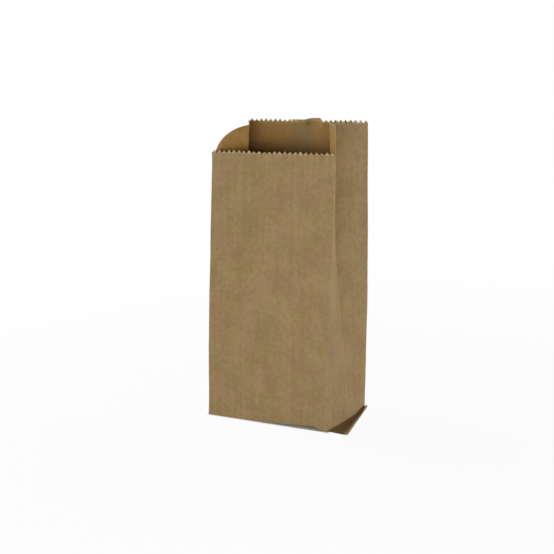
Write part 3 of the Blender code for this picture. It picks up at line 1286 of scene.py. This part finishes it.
@dataclass(frozen=True)
class KraftPaper:
    """Brown kraft paper: mottled pulp, fibres along the bag, folds rubbed lighter, cut edges lighter with a
    painted highlight, painted highlights on the front's creases and along the lap, and painted shade on the inner
    side.
    """

    cut: SheetCut
    pale: Colour = (0.345, 0.240, 0.118, 1.0)
    deep: Colour = (0.235, 0.158, 0.070, 1.0)
    # Colour of rubbed wear on folds and chips, also used for the painted highlights on the front's creases and the
    # lap's edges.
    rub_and_highlight: Colour = (0.400, 0.295, 0.165, 1.0)
    # Cut edges and tooth tips: the cut fibre's lighter colour plus a painted highlight where the tips catch light.
    torn_edge_and_highlight: Colour = (0.520, 0.395, 0.215, 1.0)
    # Deeper, more saturated orange of the inner side: painted shade of the bag's inside.
    inner: Colour = (0.395, 0.222, 0.066, 1.0)
    olive: Colour = (0.285, 0.208, 0.092, 1.0)
    rosy: Colour = (0.300, 0.190, 0.100, 1.0)
    glued: Colour = (0.250, 0.185, 0.085, 1.0)
    fleck: Colour = (0.150, 0.095, 0.045, 1.0)
    # Dark saturated blotches on the inner side: painted shade.
    inside_shade_blotch: Colour = (0.215, 0.110, 0.025, 1.0)
    # Faint upright creases in the front: rubbed wear plus a painted highlight along each; their bump is real
    # relief.
    crease_wear_and_highlights: tuple[CreaseWearAndHighlight, ...] = (
        CreaseWearAndHighlight(0.0595, 0.000, 0.026, 0.0009, 0.40),
        CreaseWearAndHighlight(0.0905, 0.012, 0.050, 0.0020, 0.22),
        CreaseWearAndHighlight(0.0610, 0.060, 0.070, 0.0022, 0.12),
    )
    roughness: float = 0.84
    sheen_level: float = 0.08
    fibre_scale: tuple[float, float] = (1100.0, 420.0)
    strand_scale: tuple[float, float] = (480.0, 1050.0)
    streak_scale: tuple[float, float] = (210.0, 12.0)
    cloud_scale: float = 210.0
    drift_scale: float = 40.0
    tint_scale: float = 34.0
    tooth_scale: float = 2600.0
    tint_share: float = 0.42
    fleck_share: float = 0.40
    chip_share: float = 0.45
    inside_shade_blotch_share: float = 0.45
    inside_shade_span: tuple[float, float] = (0.3, 0.7)
    glue_before: tuple[float, float] = (0.016, 0.002)
    glue_after: tuple[float, float] = (0.005, -0.002)
    fold_rub_span: tuple[float, float] = (0.0013, 0.0002)
    fold_rub_share: float = 0.22
    # Painted highlight along the lap's edges, standing in for the step catching light.
    lap_edge_highlight_span: tuple[float, float] = (0.0008, 0.0001)
    lap_edge_highlight_share: float = 0.20
    torn_edge_highlight_span: tuple[float, float] = (0.70, 1.0)
    relief_strength: float = 0.55
    relief_depth: float = 0.00022

    def fold_distance(self, u: Wire, v: Wire) -> Wire:
        """Works out how far a point lies from the nearest fold or memory crease.

        Args:
            u: Distance round the tube.
            v: Height on the flat sheet.

        Returns:
            The distance in metres.
        """
        cut = self.cut
        far = 1.0
        half = cut.gusset / 2
        right = cut.panel_start(Panel.RIGHT)
        back = cut.panel_start(Panel.BACK)
        left = cut.panel_start(Panel.LEFT)
        nearest = abs(v)
        for fold in (0.0, right, right + half, back, left, left + half, cut.around):
            nearest = nearest.least(abs(u - fold))
        for middle in (right + half, left + half):
            diagonal = abs(abs(u - middle) + v - half) * math.sqrt(0.5)
            nearest = nearest.least(diagonal + v.over(half) * far + (0.0 - v).over(0.0) * far)
        across_back = abs(v - half) + (right + half - u).over(0.0) * far + (u - left - half).over(0.0) * far
        return nearest.least(across_back)

    def crease_wear_and_highlight_strength(self, u: Wire, v: Wire) -> Wire:
        """Works out the strength of the faint creases in the front, which carry wear and a painted highlight.

        Args:
            u: Distance round the tube.
            v: Height on the flat sheet.

        Returns:
            The strength, 0 away from the creases.
        """
        marks = u * 0.0
        for crease in self.crease_wear_and_highlights:
            top = self.cut.lip_valley - crease.below_lip
            beside = abs(u - crease.across).ramp(crease.half_width, 0.0)
            along = v.ramp(top - crease.length, top - crease.length * 0.5) * v.ramp(top + 0.004, top)
            marks = marks.most(beside * along * crease.strength)
        return marks

    def grains(self, bench: NodeBench, plan: Wire, u: Wire, v: Wire) -> Grains:
        """Makes the noises of the paper on its flat sheet.

        Args:
            bench: The finish's node bench.
            plan: Place on the flat sheet.
            u: Distance round the tube.
            v: Height on the flat sheet.

        Returns:
            The noises.
        """
        leant, climbed = u + v * 0.6, v - u * 0.4
        spots = []
        for first, second, scale in (
            (u, v, self.fibre_scale), (leant, climbed, self.strand_scale), (u, v, self.streak_scale)
        ):
            spots.append(bench.node("ShaderNodeCombineXYZ", {}, {0: first * scale[0], 1: second * scale[1]}))
        stretched, crossed, drawn = spots
        return Grains(
            clouds=bench.grain(plan, self.cloud_scale, 4.0, 0.6),
            drifts=bench.grain(plan, self.drift_scale, 2.0),
            tints=bench.grain(plan, self.tint_scale, 3.0),
            fibres=bench.grain(stretched, 1.0, 3.0, 0.6),
            strands=bench.grain(crossed, 1.0, 3.0, 0.6),
            streaks=bench.grain(drawn, 1.0, 1.5),
            tooth=bench.grain(plan, self.tooth_scale, 2.0),
            flecks=bench.grain(stretched, 0.50, 1.0),
            chips=bench.grain(crossed, 0.45, 1.0),
        )

    def pulp(self, bench: NodeBench, grains: Grains, inside: Wire) -> Wire:
        """Mixes the colour of the paper before any wear, with painted shade on the inner side: a deeper, more
        saturated orange and darker blotches.

        Args:
            bench: The finish's node bench.
            grains: The noises of the paper.
            inside: 1 on the inner side of the bag.

        Returns:
            The colour.
        """
        clouds, drifts = grains.clouds, grains.drifts
        tone = clouds * 1.70 + drifts * 1.45 + grains.fibres * 0.65 + grains.strands * 0.75
        tone = tone + grains.streaks * 0.80 + 0.5
        body = bench.blend(tone.ramp(0.0, 1.0), self.deep, self.pale)
        tinted = bench.blend(grains.tints.ramp(-0.10, 0.10), self.olive, self.rosy)
        body = bench.blend(self.tint_share, body, tinted)
        # Painted shade inside the bag: a deeper orange, then darker blotches.
        inside_shade = inside.ramp(*self.inside_shade_span)
        body = bench.blend(inside_shade * (0.72 + drifts * 1.2 + clouds * 0.8), body, self.inner)
        shade_blotches = inside_shade * (clouds * 2.0 + drifts * 2.2).ramp(-0.35, 0.85)
        body = bench.blend(shade_blotches * self.inside_shade_blotch_share, body, self.inside_shade_blotch)
        body = bench.blend(grains.flecks.ramp(0.22, 0.32) * self.fleck_share, body, self.fleck)
        return bench.blend(grains.chips.ramp(0.24, 0.33) * self.chip_share, body, self.rub_and_highlight)

    def make(self) -> bpy.types.Material:
        """Makes the finish.

        Returns:
            The material.
        """
        material = bpy.data.materials.new("kraft_paper")
        material.use_nodes = True
        bench = NodeBench(material.node_tree)
        plan = bench.node("ShaderNodeUVMap", {"uv_map": PLAN_MAP})
        u = bench.node("ShaderNodeSeparateXYZ", {}, {0: plan})
        v = bench.other(u, 1)
        grains = self.grains(bench, plan, u, v)
        clouds, fibres = grains.clouds, grains.fibres
        inside = bench.node("ShaderNodeAttribute", {"attribute_name": INSIDE_MARK}, {}, "Fac")
        body = self.pulp(bench, grains, inside)
        seam_start = self.cut.panel_start(Panel.BACK) + self.cut.seam_start
        seam_end = seam_start + self.cut.seam_width
        glue = u.ramp(*(seam_start - before for before in self.glue_before))
        glue = glue * u.ramp(*(seam_end + after for after in self.glue_after))
        body = bench.blend(glue * (inside * 0.50 + 0.10), body, self.glued)
        rub = self.fold_distance(u, v).ramp(*self.fold_rub_span) * (0.55 + clouds * 0.9 + fibres * 0.8)
        # Lighter along the front's faint creases: wear and a painted highlight.
        marks = self.crease_wear_and_highlight_strength(u, v) * (0.8 + clouds * 1.5)
        # Painted highlight along both edges of the glued lap, standing in for the lap's step catching light.
        lap_edge_highlight = abs(u - seam_start).least(abs(u - seam_end)).ramp(*self.lap_edge_highlight_span)
        # Fold wear, plus the painted highlights of the front's creases and the lap's edges, lightens the paper.
        wear_and_highlight = (rub * self.fold_rub_share).most(marks).most(lap_edge_highlight * self.lap_edge_highlight_share).most(0.0).least(1.0)
        body = bench.blend(wear_and_highlight, body, self.rub_and_highlight)
        # Cut edges lighter: the cut fibre's own colour and a painted highlight on the tooth tips.
        edge = bench.node("ShaderNodeAttribute", {"attribute_name": EDGE_MARK}, {}, "Fac")
        body = bench.blend(edge.ramp(*self.torn_edge_highlight_span) * (clouds * 2.4 + 0.55).ramp(0.0, 1.0), body, self.torn_edge_and_highlight)
        relief = clouds * 0.5 + fibres * 1.0 + grains.strands * 0.6 + grains.tooth * 0.5 - rub * 0.4 + marks * 1.2
        heights = {"Strength": self.relief_strength, "Distance": self.relief_depth, "Height": relief}
        sockets = {
            "Base Color": body,
            "Roughness": self.roughness + clouds * 0.10 + fibres * 0.12 - rub * 0.05,
            "Normal": bench.node("ShaderNodeBump", {}, heights),
            "Specular IOR Level": self.sheen_level,
        }
        shader = bench.node("ShaderNodeBsdfPrincipled", {}, sockets)
        bench.node("ShaderNodeOutputMaterial", {}, {"Surface": shader})
        return material


@dataclass(frozen=True)
class Lamp:
    """One soft lamp, placed round the bag: a square above it, or a low strip beside it."""

    name: str
    azimuth: float
    elevation: float
    power: float
    width: float = 1.0
    height: float = 1.0
    distance: float = 1.6

    def hang(self, target: Vector) -> None:
        """Adds the lamp, turned to the target.

        Args:
            target: The point that it lights.
        """
        level = math.radians(self.elevation)
        turn = math.radians(self.azimuth)
        away = Vector((math.sin(turn) * math.cos(level), -math.cos(turn) * math.cos(level), math.sin(level)))
        data = bpy.data.lights.new(self.name, "AREA")
        data.energy = self.power
        data.shape = "RECTANGLE"
        data.size = self.width
        data.size_y = self.height
        lamp = bpy.data.objects.new(self.name, data)
        lamp.location = target + away * self.distance
        lamp.rotation_euler = away.to_track_quat("Z", "Y").to_euler()
        bpy.context.scene.collection.objects.link(lamp)


@dataclass
class Studio:
    """The pale floor, the white surroundings, the lamps and the camera."""

    floor_half: float = 40.0
    floor_white: float = 0.80
    floor_drop: float = 0.0002
    white_beside: float = 0.94
    white_span: tuple[float, float] = (0.12, 0.9)
    base_half: tuple[float, float] = (0.065, 0.040)
    base_margin: tuple[float, float] = (-0.001, 0.003)
    lens: float = 77.33
    sensor_width: float = 36.0
    camera_turn: tuple[float, float, float] = (30.190, 12.028, 2.051)
    camera_place: tuple[float, float, float] = (0.554020, -0.962105, 0.370175)
    ambient: float = 0.01
    aim: Vector = field(default_factory=lambda: Vector((0.0, 0.0, 0.13)))
    lamps: tuple[Lamp, ...] = (
        Lamp("left_lamp", -100.0, 40.0, 20.0),
        Lamp("front_left_lamp", -45.0, 12.0, 5.2, 1.2, 0.5),
        Lamp("front_lamp", 20.0, 4.5, 12.8, 1.2, 0.4),
        Lamp("front_right_lamp", 58.0, 3.0, 6.4, 1.2, 0.4),
        Lamp("low_right_lamp", 80.0, 0.0, 1.8, 1.2, 0.25),
        Lamp("low_rear_right_lamp", 130.0, 0.0, 8.7, 1.2, 0.25),
        Lamp("low_rear_lamp", 160.0, 0.0, 9.2, 1.2, 0.25),
    )

    def seen_directly(self, bench: NodeBench) -> Wire:
        """Picks out the rays that show the background.

        Args:
            bench: The node bench of the floor or the world.

        Returns:
            1 for rays from the camera, mirror reflections and clear refractions.
        """
        seen = bench.node("ShaderNodeLightPath", {}, {}, "Is Camera Ray")
        glossy = bench.other(seen, "Is Glossy Ray")
        clear = bench.other(seen, "Is Transmission Ray")
        return seen.most(glossy).most(clear)

    def lay_floor(self) -> None:
        """A wide pale floor that fades to white away from the bag and keeps the bag's shadow."""
        mesh = bpy.data.meshes.new("floor")
        half = self.floor_half
        corners = [(-half, -half, 0.0), (half, -half, 0.0), (half, half, 0.0), (-half, half, 0.0)]
        mesh.from_pydata(corners, [], [(0, 1, 2, 3)])
        floor = bpy.data.objects.new("floor", mesh)
        floor.location.z = -self.floor_drop
        bpy.context.scene.collection.objects.link(floor)
        material = bpy.data.materials.new("pale_floor")
        material.use_nodes = True
        bench = NodeBench(material.node_tree)
        place = bench.node("ShaderNodeNewGeometry", {}, {}, "Position")
        length = bench.node("ShaderNodeVectorMath", {"operation": "LENGTH"}, {0: place}, "Value")
        x = bench.node("ShaderNodeSeparateXYZ", {}, {0: place})
        y = bench.other(x, 1)
        outside = (abs(x) - self.base_half[0]).most(abs(y) - self.base_half[1]).ramp(*self.base_margin)
        pale = self.floor_white
        diffuse = bench.node("ShaderNodeBsdfDiffuse", {}, {"Color": (pale, pale, pale, 1.0)})
        white = bench.node("ShaderNodeEmission", {}, {"Strength": 1.0})
        spread = self.white_beside + length.ramp(*self.white_span) * (1.0 - self.white_beside)
        share = self.seen_directly(bench) * spread * outside
        shader = bench.node("ShaderNodeMixShader", {}, {0: share, 1: diffuse, 2: white})
        bench.node("ShaderNodeOutputMaterial", {}, {"Surface": shader})
        mesh.materials.append(material)

    def surround(self) -> None:
        """White surroundings where they are seen, and a soft even light elsewhere."""
        world = bpy.data.worlds.new("studio")
        world.use_nodes = True
        bench = NodeBench(world.node_tree)
        level = self.ambient
        soft = bench.node("ShaderNodeBackground", {}, {"Color": (1.0, 1.0, 1.0, 1.0), "Strength": level})
        white = bench.node("ShaderNodeBackground", {}, {"Color": (1.0, 1.0, 1.0, 1.0), "Strength": 1.0})
        shader = bench.node("ShaderNodeMixShader", {}, {0: self.seen_directly(bench), 1: soft, 2: white})
        bench.node("ShaderNodeOutputWorld", {}, {"Surface": shader})
        bpy.context.scene.world = world

    def set_camera(self) -> None:
        """The camera of the photograph: in front of the bag, to its right and a little above."""
        yaw, pitch, roll = (math.radians(angle) for angle in self.camera_turn)
        ahead = Vector((-math.sin(yaw) * math.cos(pitch), math.cos(yaw) * math.cos(pitch), -math.sin(pitch)))
        level = Vector((math.cos(yaw), math.sin(yaw), 0.0))
        below = ahead.cross(level)
        right = math.cos(roll) * level + math.sin(roll) * below
        down = -math.sin(roll) * level + math.cos(roll) * below
        data = bpy.data.cameras.new("camera")
        data.lens = self.lens
        data.sensor_width = self.sensor_width
        camera = bpy.data.objects.new("camera", data)
        turned = Matrix((right, -down, -ahead)).transposed()
        camera.matrix_world = Matrix.Translation(self.camera_place) @ turned.to_4x4()
        bpy.context.scene.collection.objects.link(camera)
        bpy.context.scene.camera = camera

    def build(self) -> None:
        """Sets up the whole studio."""
        self.lay_floor()
        self.surround()
        for lamp in self.lamps:
            lamp.hang(self.aim)
        self.set_camera()
        bpy.context.scene.view_settings.view_transform = "Standard"


def main() -> None:
    """Builds the bag and the studio, and reports each piece."""
    logging.basicConfig(level=logging.INFO, format="%(message)s")
    bag = LunchBag()
    piece = bag.build()
    piece.data.materials.clear()
    piece.data.materials.append(KraftPaper(bag.cut).make())
    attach(piece, "root")
    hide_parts("paper_bag")
    piece.data.calc_loop_triangles()
    LOG.info("%s: %d triangles", piece.name, len(piece.data.loop_triangles))
    Studio().build()
    LOG.info("studio: floor, surroundings, lamps and camera")


if __name__ == "__main__":
    main()
